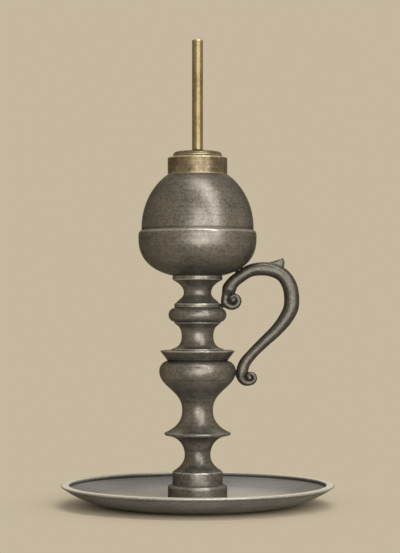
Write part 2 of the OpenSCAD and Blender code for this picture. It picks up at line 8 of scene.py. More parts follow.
import bpy
import numpy as np
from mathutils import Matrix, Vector


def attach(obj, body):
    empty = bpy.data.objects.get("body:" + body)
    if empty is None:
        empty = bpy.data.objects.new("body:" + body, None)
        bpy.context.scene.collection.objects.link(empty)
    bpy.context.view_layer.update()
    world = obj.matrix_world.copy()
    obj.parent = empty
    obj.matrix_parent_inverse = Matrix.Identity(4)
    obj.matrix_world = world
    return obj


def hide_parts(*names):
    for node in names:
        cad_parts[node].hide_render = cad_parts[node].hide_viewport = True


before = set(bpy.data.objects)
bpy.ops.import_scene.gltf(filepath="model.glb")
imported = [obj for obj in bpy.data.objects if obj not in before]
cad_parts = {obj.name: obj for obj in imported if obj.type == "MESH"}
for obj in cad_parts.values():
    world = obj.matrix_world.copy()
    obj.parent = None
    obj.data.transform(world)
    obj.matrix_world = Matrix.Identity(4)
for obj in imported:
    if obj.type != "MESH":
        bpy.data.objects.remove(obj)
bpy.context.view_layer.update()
MM = 0.001

# %% [markdown]
# ## Camera
# The picture looks level at the middle of the stem, from far enough away that the dish shows
# only a thin ellipse. A long lens does the same. The shift lifts the frame without tilting the
# camera, so the upright lines stay parallel.

# %% Set the camera
camera = bpy.data.objects.new("camera", bpy.data.cameras.new("camera"))
camera.location = (0.0015, -1.070, 0.118)
camera.rotation_euler = (np.pi / 2, 0, 0)
camera.data.lens = 116.1
camera.data.shift_y = 0.057
bpy.context.scene.collection.objects.link(camera)
bpy.context.scene.camera = camera
bpy.context.scene.view_settings.view_transform = "Standard"
print("camera at", tuple(round(c, 4) for c in camera.location))

# %% [markdown]
# ## Outlines
# Almost every part of the lamp was spun, cast and turned on a lathe, so its shape is one
# outline of radius and height in millimetres. Arcs and pulled curves are enough to draw them.
# Modelling by hand with a subdivided cylinder would work too, but numbers keep the finished
# piece exactly where its solid is.


# %% Draw arcs and curves
def arc(x, z, wide, high, start, end, steps=24):
    """Points (x + wide cos t, z + high sin t), with t from start to end in degrees."""
    t = np.radians(np.linspace(start, end, steps + 1))
    return np.column_stack([x + wide * np.cos(t), z + high * np.sin(t)])


def curved(a, b, pull_a, pull_b, steps=40):
    """Cubic Bezier curve from a to b. Its handles are a + way pull_a and b - way pull_b."""
    a, b = np.array(a, float), np.array(b, float)
    way, t = b - a, np.linspace(0, 1, steps + 1)[:, None]
    near, far = a + way * pull_a, b - way * pull_b
    return (1 - t) ** 3 * a + 3 * (1 - t) ** 2 * t * near + 3 * (1 - t) * t**2 * far + t**3 * b


def outline(*parts):
    """One list of points from single points and curves."""
    return np.vstack([np.atleast_2d(np.asarray(part, float)) for part in parts])


def walled(outside, wall, bore):
    """Closed outline of a hollow casting: the inner line is a wall inside the outer, up to the bore."""
    inner = np.column_stack([np.minimum(bore, outside[:, 0] - wall), outside[:, 1]])
    return outline(outside, inner[::-1])


print("a quarter arc has", len(arc(0, 0, 1, 1, 0, 90)), "points")

# %% [markdown]
# ## Worn corners
# No corner of an old pewter lamp is sharp: the metal is soft, and polishing rounds it. Here
# each outline is walked in steps of a tenth of a millimetre and averaged, which rounds every
# corner and fills every inner corner a little, as solder and wax do. The bend that is left is
# kept with the points. It tells the material where an edge is rubbed bright, and where a hollow
# is darkened with grime and painted shade. Where the outline bends more, the rows of the mesh
# are closer.

# %% Round an outline and choose its rows
FINE_STEP = 0.1


def softened(points, rounding, closed):
    """The outline in even small steps, each point the mean of its neighbours, twice over."""
    if closed:
        points = np.vstack([points, points[:1]])
    run = np.r_[0, np.cumsum(np.hypot(*np.diff(points, axis=0).T))]
    keep = np.r_[True, np.diff(run) > 1e-6]
    points, run = points[keep], run[keep]
    even = np.linspace(0, run[-1], int(run[-1] / FINE_STEP) + 2)
    line = np.column_stack([np.interp(even, run, points[:, k]) for k in (0, 1)])
    width = int(rounding / FINE_STEP) | 1
    pad = 2 * width + 2
    if closed:
        line = line[:-1]
        line = np.vstack([line[-pad:], line, line[:pad]])
    else:
        over_axis = np.array([-1, 1])
        line = np.vstack([line[pad:0:-1] * over_axis, line, line[-2 : -pad - 2 : -1] * over_axis])
    kernel = np.ones(width) / width
    for _ in range(2):
        line = np.column_stack([np.convolve(line[:, k], kernel, "same") for k in (0, 1)])
    way = np.diff(line, axis=0)
    turn = np.diff(np.unwrap(np.arctan2(way[:, 1], way[:, 0])))
    bend = turn / np.hypot(*way[1:].T)
    return line[pad:-pad], bend[pad - 1 : len(line) - pad - 1]


def rows_of(line, bend, coarse, fine, closed, close_band=None):
    """Rows of the mesh: their density is 1/coarse plus twice the bend, at most 1/fine."""
    if closed:
        line, bend = np.vstack([line, line[:1]]), np.r_[bend, bend[:1]]
    around_bend = np.convolve(np.abs(bend), np.ones(5) / 5, "same")
    density = np.minimum(1 / coarse + 2 * around_bend, 1 / fine)
    if close_band:
        low, high, step = close_band
        inside = (line[:, 1] > low) & (line[:, 1] < high)
        density = np.where(inside, np.maximum(density, 1 / step), density)
    run = np.r_[0, np.cumsum(np.hypot(*np.diff(line, axis=0).T))]
    total = np.r_[0, np.cumsum(np.diff(run) * (density[1:] + density[:-1]) / 2)]
    pick = np.interp(np.linspace(0, total[-1], int(total[-1]) + 2), total, run)
    if closed:
        pick = pick[:-1]
    placed = np.column_stack([np.interp(pick, run, line[:, k]) for k in (0, 1)])
    wear_and_shade = np.convolve(np.clip(bend / 2, -1, 1), np.ones(7) / 7, "same")
    return placed, np.interp(pick, run, wear_and_shade)


square, bends = softened(np.array([[5.0, 0], [9, 0], [9, 4], [5, 4]]), 0.8, True)
print("a square corner bends by at most", round(float(bends.max()), 2), "per mm")

# %% [markdown]
# ## From arrays to a mesh
# Blender can take whole arrays of vertices, corners and faces at once, which is much faster
# than adding them one by one. The finished object sits at the origin with its place in its
# mesh, as the solids of the frame do.


# %% Put arrays into a mesh
def mesh_of(name, places, faces, wear_and_shade):
    """Object from points in mm and arrays of faces, with the rubbing and painted shade of each point beside them."""
    mesh = bpy.data.meshes.new(name)
    corners = np.concatenate([face.ravel() for face in faces]).astype(np.int32)
    sizes = np.concatenate([np.full(len(face), face.shape[1]) for face in faces])
    starts = np.r_[0, np.cumsum(sizes)[:-1]].astype(np.int32)
    mesh.vertices.add(len(places))
    mesh.vertices.foreach_set("co", (places * MM).astype(np.float32).ravel())
    mesh.loops.add(len(corners))
    mesh.loops.foreach_set("vertex_index", corners)
    mesh.polygons.add(len(starts))
    mesh.polygons.foreach_set("loop_start", starts)
    mesh.update(calc_edges=True)
    mesh.shade_smooth()
    mesh.set_sharp_from_angle(angle=np.radians(55))
    kept = mesh.attributes.new("wear_and_shade", "FLOAT", "POINT")
    kept.data.foreach_set("value", wear_and_shade.astype(np.float32))
    piece = bpy.data.objects.new(name, mesh)
    bpy.context.scene.collection.objects.link(piece)
    return piece


# %% Turn an outline on the lathe
def turned(name, points, closed=True, rounding=0.5, coarse=1.5, fine=0.15, around=168,
           shape=None, close_band=None, seams=(None, None), rubs_and_shades=()):
    """Surface of revolution: (r, z) at the angle a goes to (r cos a, r sin a, z).
    shape(r, z, a) moves it outwards by a little. An open outline starts and ends on the axis.
    Points beyond a seam's height are pressed flat onto it, so that edge stays sharp and tight.
    A rub is (height, width, amount): rubbed brightness that is added there, or painted shade if it is negative."""
    line, bend = softened(points, rounding, closed)
    rows, wear_and_shade = rows_of(line, bend, coarse, fine, closed, close_band)
    for seam, way in zip(seams, (1, -1)):
        if seam is not None:
            wear_and_shade = np.where((rows[:, 1] - seam) * way < 0.6, 0, wear_and_shade)
            rows[:, 1] = np.maximum(rows[:, 1] * way, seam * way) * way
    for height, width, amount in rubs_and_shades:
        wear_and_shade = wear_and_shade + amount * np.exp(-(((rows[:, 1] - height) / width) ** 2))
    a = np.arange(around) * 2 * np.pi / around
    r, z = rows[:, :1], rows[:, 1:]
    wide = r + (shape(r, z, a) if shape else 0 * a)
    grid = np.stack([wide * np.cos(a), wide * np.sin(a), z + 0 * a], axis=2)
    count = len(rows)
    index = np.arange(count * around).reshape(count, around)
    near = index if closed else index[1:-1]
    low, high = (near, np.roll(near, -1, axis=0)) if closed else (near[:-1], near[1:])
    quads = np.stack([low, np.roll(low, -1, 1), np.roll(high, -1, 1), high], axis=2).reshape(-1, 4)
    places, faces, wear_and_shade = grid.reshape(-1, 3), [quads], np.repeat(wear_and_shade, around)
    if not closed:
        # the first and last rows lie on the axis, so each of them is one point
        places[index[0, 0]], places[index[-1, 0]] = [0, 0, rows[0, 1]], [0, 0, rows[-1, 1]]
        for pole, ring, order in ((index[0, 0], near[0], -1), (index[-1, 0], near[-1], 1)):
            pair = np.column_stack([ring, np.roll(ring, -1)])[:, ::order]
            faces.append(np.column_stack([np.full(around, pole), pair]))
        used = np.unique(np.concatenate([face.ravel() for face in faces]))
        renumber = np.zeros(len(places), int)
        renumber[used] = np.arange(len(used))
        places, wear_and_shade, faces = places[used], wear_and_shade[used], [renumber[face] for face in faces]
    return mesh_of(name, places, faces, wear_and_shade)


# %% [markdown]
# ## Hand work
# A lamp that was spun and soldered by hand is never quite round, and soft pewter takes dents.
# A sum of slow waves round the axis gives the first, and a few shallow hollows the second.
# The waves are the same for all pieces, so that they still meet at their seams.

# %% Uneven roundness and dents
draw = np.random.default_rng(41)
WAVES = [(n, draw.uniform(-0.05, 0.05), draw.uniform(0, 2 * np.pi), draw.normal()) for n in (2, 3, 4, 5, 7)]


def uneven(amount, dents=()):
    """Sum of cosines of the angle and the height, less a bell-shaped hollow for each dent.
    A dent is (angle in degrees, height, size, depth), in mm."""

    def shape(r, z, a):
        move = amount / 2 * np.minimum(1, r / 12) * sum(
            weight * np.cos(n * a + k * z + start) for n, k, start, weight in WAVES)
        for angle, height, size, depth in dents:
            beside = (a - np.radians(angle) + np.pi) % (2 * np.pi) - np.pi
            away = (np.maximum(r, 1) * beside) ** 2 + (z - height) ** 2
            move = move - depth * np.exp(-away / size**2)
        return move

    return shape


print("waves round the lamp:", [wave[0] for wave in WAVES])

# %% [markdown]
# ## Dish
# The dish is spun from sheet: a flat middle, a side that curves up in one sweep, and a flat
# band round the rim that stiffens it. The band's inner edge drops a little, which draws the
# dark ring that the eye sees inside the rim.

# %% Dish
SEAM_LOW, URN_WIDE, SEAM_HIGH, KNOP = 42.6, 80.2, 92.7, 113.9
pieces = {}
flat_r, edge_r, dish_wall, rim_r, rim_h, band_in = 46, 0.6, 1.8, 82, 12.4, 77.1
side, rise = rim_r - edge_r - flat_r, rim_h - 1.2
sweep_r = (side**2 + rise**2) / (2 * rise)
inner_r = sweep_r - dish_wall
dish = outline(
    [0, 0], arc(flat_r, sweep_r, sweep_r, sweep_r, -90, -90 + np.degrees(np.arcsin(side / sweep_r))),
    arc(rim_r - edge_r, rim_h - edge_r, edge_r, edge_r, -90, 90), [band_in, rim_h],
    arc(flat_r, sweep_r, inner_r, inner_r,
        -90 + np.degrees(np.arcsin((band_in - flat_r) / inner_r)), -90), [0, dish_wall])
pieces["saucer"] = turned("saucer_finished", dish, closed=False, rounding=0.4, coarse=2, around=256,
                          shape=uneven(0.06))
print("dish:", len(pieces["saucer"].data.polygons), "faces")

# %% [markdown]
# ## Foot, urn and stem
# These are hollow castings that were turned smooth and soldered at their widest flanges. Each
# outline starts at its lower seam and ends at its upper one, and the wall is drawn back inside.

# %% Foot ring and pedestal
cast = uneven(0.05)
ring = outline([15.8, 1.8], [17.8, 1.8], arc(16, 10.4, 1.8, 1.8, 0, 90), [11, 12.2], [11, 10.2], [15.8, 10.2])
pieces["foot_ring"] = turned("foot_ring_finished", ring, rounding=0.4, shape=cast)
pedestal = outline(
    [15, 12.2], arc(14.5, 19.6, 0.5, 0.5, 0, 60), curved([14, 20.6], [7.7, 30], [0.48, 0.19], [0, 0.49]),
    curved([7.7, 30], [19, SEAM_LOW - 0.9], [0, 0.4], [0.77, 0.09]),
    arc(19, SEAM_LOW, 0.9, 0.9, -75, 0), [19.9, SEAM_LOW + 1])
pieces["pedestal"] = turned("pedestal_finished", walled(pedestal, 2, 12.9), shape=cast,
                            seams=(None, SEAM_LOW))

# %% Urn and stem
urn_low = outline(
    [19.9, SEAM_LOW - 1], arc(19, SEAM_LOW, 0.9, 0.9, 0, 90),
    curved([19, 43.5], [9.2, 56.9], [0.71, 0.25], [0, 0.45]),
    curved([9.2, 56.9], [23, URN_WIDE], [0, 0.5], [0, 0.42]), [23, URN_WIDE + 1])
pieces["urn_lower"] = turned("urn_lower_finished", walled(urn_low, 2, 19.6), rounding=0.4, shape=cast,
                             seams=(SEAM_LOW, URN_WIDE))
urn_high = outline(
    [23, URN_WIDE - 1], arc(17, URN_WIDE, 6, 6.3, 0, 80), [18, 86.5], [22.4, 92.2], [21.9, SEAM_HIGH],
    [11.6, SEAM_HIGH], [11.6, 90.7], [16, 90.7], [16, 86.5], [21, URN_WIDE], [21, URN_WIDE - 1])
pieces["urn_upper"] = turned("urn_upper_finished", urn_high, rounding=0.5, shape=cast,
                             seams=(URN_WIDE, None))
stem = outline(
    [15.6, SEAM_HIGH], [15.6, 93.5], curved([15.6, 93.5], [9.5, 101.3], [0.74, 0.12], [0, 0.56]),
    curved([9.5, 101.3], [11.1, 106.7], [0, 0.43], [0.56, 0.2]), [14.1, 109.2],
    arc(13.6, KNOP, 3.8, 4.2, -90, 0), [17.4, KNOP + 1])
pieces["stem"] = turned("stem_finished", walled(stem, 2, 11.6), shape=cast, seams=(None, KNOP))
neck = outline(
    [17.4, KNOP - 1], arc(13.6, KNOP, 3.8, 4.2, 0, 90), [13.9, 118.6], arc(13.4, 120.4, 0.5, 0.5, 0, 90),
    curved([12.9, 120.9], [8.2, 127.1], [0.19, 0.3], [0, 0.47]),
    curved([8.2, 127.1], [14.5, 134.7], [0, 0.47], [0.56, 0.25]),
    arc(14.5, 135.2, 0.5, 0.5, -60, 0), arc(14.5, 137, 0.5, 0.5, 0, 90))
pieces["fount_neck"] = turned("fount_neck_finished", walled(neck, 2, 11.9), shape=cast,
                              seams=(KNOP, None))
print("stem pieces:", [piece for piece in pieces])

# %% [markdown]
# ## Fount
# The fount holds the fuel. Its bowl is fuller than an ellipse, and its dome is half an ellipse
# on end. The two are soldered where the bowl's lip turns in, so the seam lies in a small step.
# Some shallow dents tell its age.

# %% Bowl and dome
WIDE, FULL = 160.108, 2.4
LIP, DOME_WIDE, SHOULDER = 164.608, 166.108, 197.883
t = np.linspace(0, np.pi / 2, 90)
bowl_r = 15.3 + (35.4 - 15.3) * np.sin(t)
below = (1 - np.minimum(1, bowl_r / 35.4) ** FULL) ** (1 / FULL)
inside = np.column_stack([33.6 * np.cos(t) ** (2 / FULL), WIDE - 20.808 * np.sin(t) ** (2 / FULL)])
bowl = outline(
    [0, 137.5], np.column_stack([bowl_r, WIDE - 24 * below]), [35.4, LIP - 3.2],
    curved([35.4, LIP - 3.2], [33.6, LIP], [0, 0.56], [0.75, 0.12]), [31.9, LIP], [33.2, LIP - 2.4],
    inside)
bowl_dents = [(-118, 150, 7, 0.4), (-38, 153, 6, 0.3), (60, 148, 8, 0.45), (150, 152, 6, 0.35)]
pieces["fount_bowl"] = turned("fount_bowl_finished", bowl, closed=False, around=192,
                              shape=uneven(0.07, bowl_dents), rubs_and_shades=[(LIP - 0.4, 0.7, 0.7)])
dome_end = np.degrees(np.arccos(18.2 / 33.6))
dome = outline(
    [31.8, LIP], [33.6, LIP], arc(0, DOME_WIDE, 33.6, 37.8, 0, dome_end, 60), [15.6, SHOULDER],
    [15.6, 203.983], [13.1, 203.983],
    arc(0, DOME_WIDE, 31.8, 36, np.degrees(np.arccos(13.1 / 31.8)), 0, 60))
dome_dents = [(-72, 184, 6, 0.3), (-130, 174, 8, 0.4), (20, 180, 7, 0.35), (110, 176, 9, 0.45)]
# The negative rub darkens a band of the dome just above its seam: painted shade in the step.
pieces["fount_dome"] = turned("fount_dome_finished", dome, rounding=0.4, around=192,
                              shape=uneven(0.07, dome_dents), rubs_and_shades=[(LIP + 0.8, 0.9, -0.5)])
print("fount is", 2 * 35.4, "mm wide")

# %% [markdown]
# ## Screw
# The burner screws into the collar with three coarse turns. A thread is only a small change of
# radius: along the helix, the height of the ridge is a trapezoid of the distance from its
# middle line. The collar has the same trapezoid, a little wider, as a groove.

# %% Thread as a change of radius
THREAD_START, PITCH, TURNS, DEPTH = 202.333, 1.8, 3, 0.7
CAP_LOW, CAP_TOP = 208.983, 211.783


def thread(root, crest, radius, turns=None):
    """Ridge height: DEPTH times the clipped slope (root/2 - distance) / ((root - crest) / 2),
    on the surface of that radius only, and fading at the ends of the turns."""

    def shape(r, z, a):
        lead = (z - THREAD_START) / PITCH - a / (2 * np.pi)
        turn = np.round(lead)
        distance = np.abs(lead - turn) * PITCH
        height = np.clip((root / 2 - distance) / ((root - crest) / 2), 0, 1)
        along = turn + a / (2 * np.pi)
        if turns:
            height = height * np.clip(6 * along, 0, 1) * np.clip(6 * (turns - along), 0, 1)
        return DEPTH * height * (np.abs(r - radius) < 0.05) * (z < CAP_LOW - 0.7)

    return shape


# %% [markdown]
# ## Collar, washer and burner
# The collar is soldered over the mouth of the dome, a leather washer lies on it, and the
# burner's cap presses on the washer. The thin wick tube stands in a boss under the cap. All of
# them were turned from brass, so they are much truer than the pewter.

# %% Brass pieces
COLLAR_TOP, TUBE_TOP = 208.383, 278.983
collar = outline(
    [15.7, SHOULDER], [17.9, SHOULDER], arc(16.9, COLLAR_TOP - 1, 1, 1, 0, 90), [10.8, COLLAR_TOP],
    [10.8, SHOULDER + 0.8], [13, SHOULDER + 0.8], [13, 203.983], [15.7, 203.983])
pieces["collar"] = turned("collar_finished", collar, rounding=0.25, shape=thread(1.35, 0.8, 10.8),
                          close_band=(203.5, COLLAR_TOP, 0.2))
cap = outline(
    [3.1, CAP_LOW - 2.5], [5.6, CAP_LOW - 2.5], [5.6, CAP_LOW], [9, CAP_LOW], [9, CAP_LOW - 7.6],
    [10.6, CAP_LOW - 7.6], [10.6, CAP_LOW], [14.6, CAP_LOW],
    arc(12, CAP_TOP - 2, 2.6, 2, 0, 90), curved([12, CAP_TOP], [6, CAP_TOP], [0.3, 0], [0.3, 0]),
    [3.1, CAP_TOP])
pieces["burner_cap"] = turned("burner_cap_finished", cap, rounding=0.2,
                              shape=thread(0.95, 0.4, 10.6, TURNS),
                              close_band=(CAP_LOW - 7.7, CAP_LOW - 0.3, 0.15))
washer = outline([11.6, COLLAR_TOP + 0.02], [13.8, COLLAR_TOP + 0.02], [13.9, COLLAR_TOP + 0.3],
                 [13.8, CAP_LOW - 0.02], [11.6, CAP_LOW - 0.02])
pieces["washer"] = turned("washer_finished", washer, rounding=0.15, coarse=0.4, shape=uneven(0.03))
tube = outline([2.75, 205.483], [3.05, 205.483], [3.05, 212.683], [3.25, 212.883],
               arc(2.8, TUBE_TOP - 0.45, 0.45, 0.45, 0, 90), [2.75, TUBE_TOP])
pieces["wick_tube"] = turned("wick_tube_finished", tube, rounding=0.1, coarse=2, fine=0.06, around=72)
print("burner cap:", len(pieces["burner_cap"].data.polygons), "faces")

# %% [markdown]
# ## Wick
# The wick is a round cotton braid. Two sets of strands wind round it in opposite directions,
# and where they cross, one lies on the other. The product of two slanting waves gives that
# pattern. Its tip was trimmed and has frayed to a soft round end.


# %% Wick
def braid(r, z, a):
    """Strands: the product of two waves that wind opposite ways, faded at the round tip."""
    strands = np.cos(5 * a + 1.9 * z) * np.cos(5 * a - 1.9 * z)
    return 0.13 * strands * np.clip(r - 0.6, 0, 1)


wick = outline([0, 145.8], [1.8, 145.8], [2.25, 146.3], [2.25, 277.2], arc(0, 277.2, 2.25, 1.18, 0, 90))
pieces["wick"] = turned("wick_finished", wick, closed=False, rounding=0.2, coarse=0.5, fine=0.2, around=60,
                        shape=braid)
print("wick is", 278.383 - 145.8, "mm long")

# %% [markdown]
# ## Handle
# The handle is one casting: a bar that starts and ends in a scroll, with a small pointed spur
# for the thumb. The bar is an ellipse swept along a curve through given points, and a table of
# turns gives the scrolls. Buttons in the eyes of the scrolls, webs between their turns, the
# spur and the fillets of solder are separate forms that melt into one skin when the whole is
# remeshed.

# %% The handle's curve
BAR_W, REACH = 9.1, 43.5
UPPER_TURNS = [[180, 54.9, 49.5, 65.9], [200, 54.4, 53.8, 65.9], [225, 49.5, 45.1, 57.1],
               [270, 44, 39.6, 48.4], [315, 40.7, 38.5, 44], [360, 37.4, 37.4, 40.7],
               [405, 33.5, 33, 37.4], [450, 28.6, 27.5, 33], [495, 22, 24.2, 28.6],
               [540, 16.5, 19.8, 26.4], [580, 13.7, 16.5, 24.2], [605, 12.6, 14.3, 22]]
LOWER_TURNS = [[180, 55.5, 57.1, 68.1], [225, 42.9, 42.9, 54.9], [270, 34.1, 34.1, 46.2],
               [315, 34.1, 32.4, 40.7], [360, 34.6, 30.8, 36.3], [405, 32.4, 27.5, 31.9],
               [450, 26.9, 22, 27.5], [495, 17.6, 16.5, 23.1], [540, 13.7, 14.3, 20.9],
               [570, 12.1, 13.2, 18.7]]
BAR_LINE = [[9.2, 110.8, 54.9], [15.6, 120.5, 92.3], [21.8, 128.7, 84.6], [35.6, 139.4, 81.3],
            [50.8, 147.9, 82.4], [66.2, 150.6, 87.9], [80.2, 149.1, 90.1], [94.3, 141, 92.3],
            [100, 127.8, 97.8], [99.8, 109.3, 100], [95.4, 93.1, 100], [85.7, 78.4, 93.4],
            [69, 60.7, 81.3], [48, 43, 73.6], [27.8, 25.3, 70.3], [14, 10.6, 75.8], [8.3, -0.5, 76.9]]
SPUR_LINE = [[36.5, 144.2], [42.0, 145.2], [46.0, 146.2], [48.9, 147.2], [50.9, 148.2], [52, 146.6],
             [52.3, 145.1], [51.8, 142.4], [47.1, 139.7], [38.5, 141]]


def on_handle(out, rise):
    """Place from the line through both contacts: out from it in mm, rise along it in percent."""
    return np.column_stack([23 - 9.1 * np.asarray(rise) / 100 + out, 80.2 + 40.7 * np.asarray(rise) / 100])


def scroll(turns, off, rise):
    """Spiral of (x, z, width, depth): each radius at its angle round the eye."""
    turns = np.array(turns, float)
    eye = on_handle((turns[0, 1] + turns[0, 2] / 2) * BAR_W / 100 + off, rise)[0]
    angle, radius = np.radians(turns[:, 0]), turns[:, 1] * BAR_W / 100
    spiral = eye + np.column_stack([radius * np.cos(angle), radius * np.sin(angle)])
    return eye, np.column_stack([spiral, turns[:, 2:] * BAR_W / 100])


def drawn(p, steps):
    """Cubic curve through the points. Each slope is the mean of its two sides, by their lengths."""
    gap = np.hypot(*np.diff(p[:, :2], axis=0).T)[:, None]
    way = np.diff(p, axis=0) / gap
    middle = (way[:-1] * gap[1:] + way[1:] * gap[:-1]) / (gap[:-1] + gap[1:])
    slope = np.vstack([way[:1], middle, way[-1:]])
    t = (np.arange(steps) / steps)[None, :, None]
    s, a, b, h = 1 - t, p[:-1, None], p[1:, None], gap[:, :, None]
    line = s * s * (1 + 2 * t) * a + t * t * (3 - 2 * t) * b
    line = line + h * t * s * s * slope[:-1, None] - h * t * t * s * slope[1:, None]
    return np.vstack([line.reshape(-1, p.shape[1]), p[-1:]])


upper_eye, upper_scroll = scroll(UPPER_TURNS, 0.55, 104.4)
lower_eye, lower_scroll = scroll(LOWER_TURNS, -0.35, -10)
bar = np.array(BAR_LINE)
bar_width = bar[:, 2:] * BAR_W / 100
bar = np.hstack([on_handle(bar[:, 0] * REACH / 100, bar[:, 1]), bar_width, bar_width])
path = drawn(np.vstack([upper_scroll[::-1], bar, lower_scroll]), 14)
print("eyes of the scrolls:", upper_eye.round(2), lower_eye.round(2))


# %% Sweep the bar, and shape the small forms
def loft(rings):
    """Closed skin over rings of points, an array of (ring, point, xyz), with a point at each end."""
    count, around = rings.shape[:2]
    index = np.arange(count * around).reshape(count, around)
    low, high = index[:-1], index[1:]
    quads = np.stack([low, np.roll(low, -1, 1), np.roll(high, -1, 1), high], axis=2).reshape(-1, 4)
    ends = np.vstack([rings[0].mean(0), rings[-1].mean(0)])
    first = np.column_stack([np.full(around, index.size), np.roll(index[0], -1), index[0]])
    last = np.column_stack([np.full(around, index.size + 1), index[-1], np.roll(index[-1], -1)])
    return np.vstack([rings.reshape(-1, 3), ends]), [quads, first, last]


def swept(path, sides=36):
    """Ellipse carried along the path: width across it in the plane, depth across the plane."""
    run = np.gradient(path[:, :2], axis=0)
    run /= np.hypot(*run.T)[:, None]
    w = np.arange(sides) * 2 * np.pi / sides
    full = np.array([np.sign(np.cos(w)) * np.abs(np.cos(w)) ** 0.9, np.sign(np.sin(w)) * np.abs(np.sin(w)) ** 0.9])
    across, deep = path[:, 2:3] / 2 * full[0], path[:, 3:4] / 2 * full[1]
    return loft(np.stack([path[:, :1] - run[:, 1:] * across, deep, path[:, 1:2] + run[:, :1] * across], axis=2))


def pebble(centre, radii):
    """Ellipsoid as rings from one pole to the other."""
    t = np.linspace(0.08, np.pi - 0.08, 20)[:, None]
    w = np.arange(28) * 2 * np.pi / 28
    rings = np.stack([np.sin(t) * np.cos(w), -np.cos(t) + 0 * w, np.sin(t) * -np.sin(w)], axis=2)
    return loft(rings * radii + centre)


def pillow(line, half):
    """Flat outline thickened across the plane; it shrinks to its middle towards both faces."""
    y = np.sin(np.linspace(-1.5, 1.5, 21))
    size = (1 - np.abs(y) ** 3.2) ** (1 / 3.2) * 0.9 + 0.1
    line = softened(np.asarray(line), 0.35, True)[0][::2]
    middle = line.mean(0)
    flat = middle + (line - middle) * size[:, None, None]
    return loft(np.stack([flat[..., 0], half * y[:, None] + 0 * flat[..., 0], flat[..., 1]], axis=2)[:, ::-1])


forms = [
    swept(path),
    pillow(SPUR_LINE[::-1], 2.5),
    pebble([upper_eye[0], 0, upper_eye[1]], [2.1, 1.9, 2.1]),
    pebble([lower_eye[0], 0, lower_eye[1]], [1.65, 1.6, 1.65]),
    pebble([upper_eye[0], 0, upper_eye[1]], [4.4, 0.75, 4.4]),
    pebble([lower_eye[0], 0, lower_eye[1]], [3.6, 0.6, 3.6]),
    pebble([24.4, 0, 141.2], [3.4, 1.9, 1.7]),
    pebble([14.9, 0, 119.4], [1.3, 1.9, 1.5]),
    pebble([23.7, 0, 78.6], [1.0, 1.9, 2.6]),
]
print("forms of the handle:", len(forms))


# %% Melt the forms into one skin
def melted(name, forms, voxel):
    """One mesh of all forms, remeshed on a grid of voxels, which joins what overlaps."""
    places, faces, start = [], [], 0
    for points, groups in forms:
        faces += [group + start for group in groups]
        places.append(points)
        start += len(points)
    places = np.vstack(places)
    piece = mesh_of(name, places, faces, np.zeros(len(places)))
    remesh = piece.modifiers.new("melt", "REMESH")
    remesh.mode, remesh.voxel_size = "VOXEL", voxel * MM
    whole = bpy.data.meshes.new_from_object(piece.evaluated_get(bpy.context.evaluated_depsgraph_get()))
    piece.modifiers.clear()
    piece.data = whole
    return piece


def averaged(values, pairs, count):
    """Mean of each point's neighbours, for every column of values."""
    sums = [np.bincount(pairs[:, 0], values[pairs[:, 1], k], len(values))
            + np.bincount(pairs[:, 1], values[pairs[:, 0], k], len(values)) for k in range(values.shape[1])]
    return np.column_stack(sums) / count[:, None]


def smooth_skin(piece, passes):
    """Takes out the voxel steps: each pass moves points to their neighbours' mean and back a
    little more, which keeps the volume. The bend that stays is kept for rubbed edges, and for grime and painted shade
    in hollows."""
    mesh = piece.data
    places = np.empty(len(mesh.vertices) * 3, np.float32)
    mesh.vertices.foreach_get("co", places)
    places = places.reshape(-1, 3).astype(float) / MM
    pairs = np.empty(len(mesh.edges) * 2, np.int32)
    mesh.edges.foreach_get("vertices", pairs)
    pairs = pairs.reshape(-1, 2)
    count = np.maximum(1, np.bincount(pairs.ravel(), minlength=len(places)))
    for weight in [0.6, -0.62] * passes:
        places += weight * (averaged(places, pairs, count) - places)
    mesh.vertices.foreach_set("co", (places * MM).astype(np.float32).ravel())
    mesh.update()
    normals = np.empty(len(places) * 3, np.float32)
    mesh.vertices.foreach_get("normal", normals)
    away = places - averaged(places, pairs, count)
    wear_and_shade = np.sum(away * normals.reshape(-1, 3), axis=1, keepdims=True)
    for _ in range(6):
        wear_and_shade = averaged(wear_and_shade, pairs, count)
    mesh.attributes.new("wear_and_shade", "FLOAT", "POINT").data.foreach_set(
        "value", np.clip(22 * wear_and_shade[:, 0] - 0.12, -1, 1).astype(np.float32))
    mesh.shade_smooth()


handle = melted("handle_finished", forms, 0.27)
smooth_skin(handle, 12)
pieces["handle"] = handle
print("handle:", len(handle.data.polygons), "faces")

# %% [markdown]
# ## Shader recipes
# A material is a recipe of nodes. One small class lets a socket take part in plain arithmetic,
# so that a mask reads like a formula, and one method adds any other node.


# %% Sockets that calculate
class Value:
    """An output socket. Each operator on it adds one Math node."""

    def __init__(self, recipe, socket):
        self.recipe, self.socket = recipe, socket

    def maths(self, operation, first, second):
        return self.recipe.node("ShaderNodeMath", {"operation": operation}, {0: first, 1: second})

    def __add__(self, other):
        return self.maths("ADD", self, other)

    def __sub__(self, other):
        return self.maths("SUBTRACT", self, other)

    def __rsub__(self, other):
        return self.maths("SUBTRACT", other, self)

    def __mul__(self, other):
        return self.maths("MULTIPLY", self, other)

    def __pow__(self, other):
        return self.maths("POWER", self, other)

    __radd__, __rmul__ = __add__, __mul__


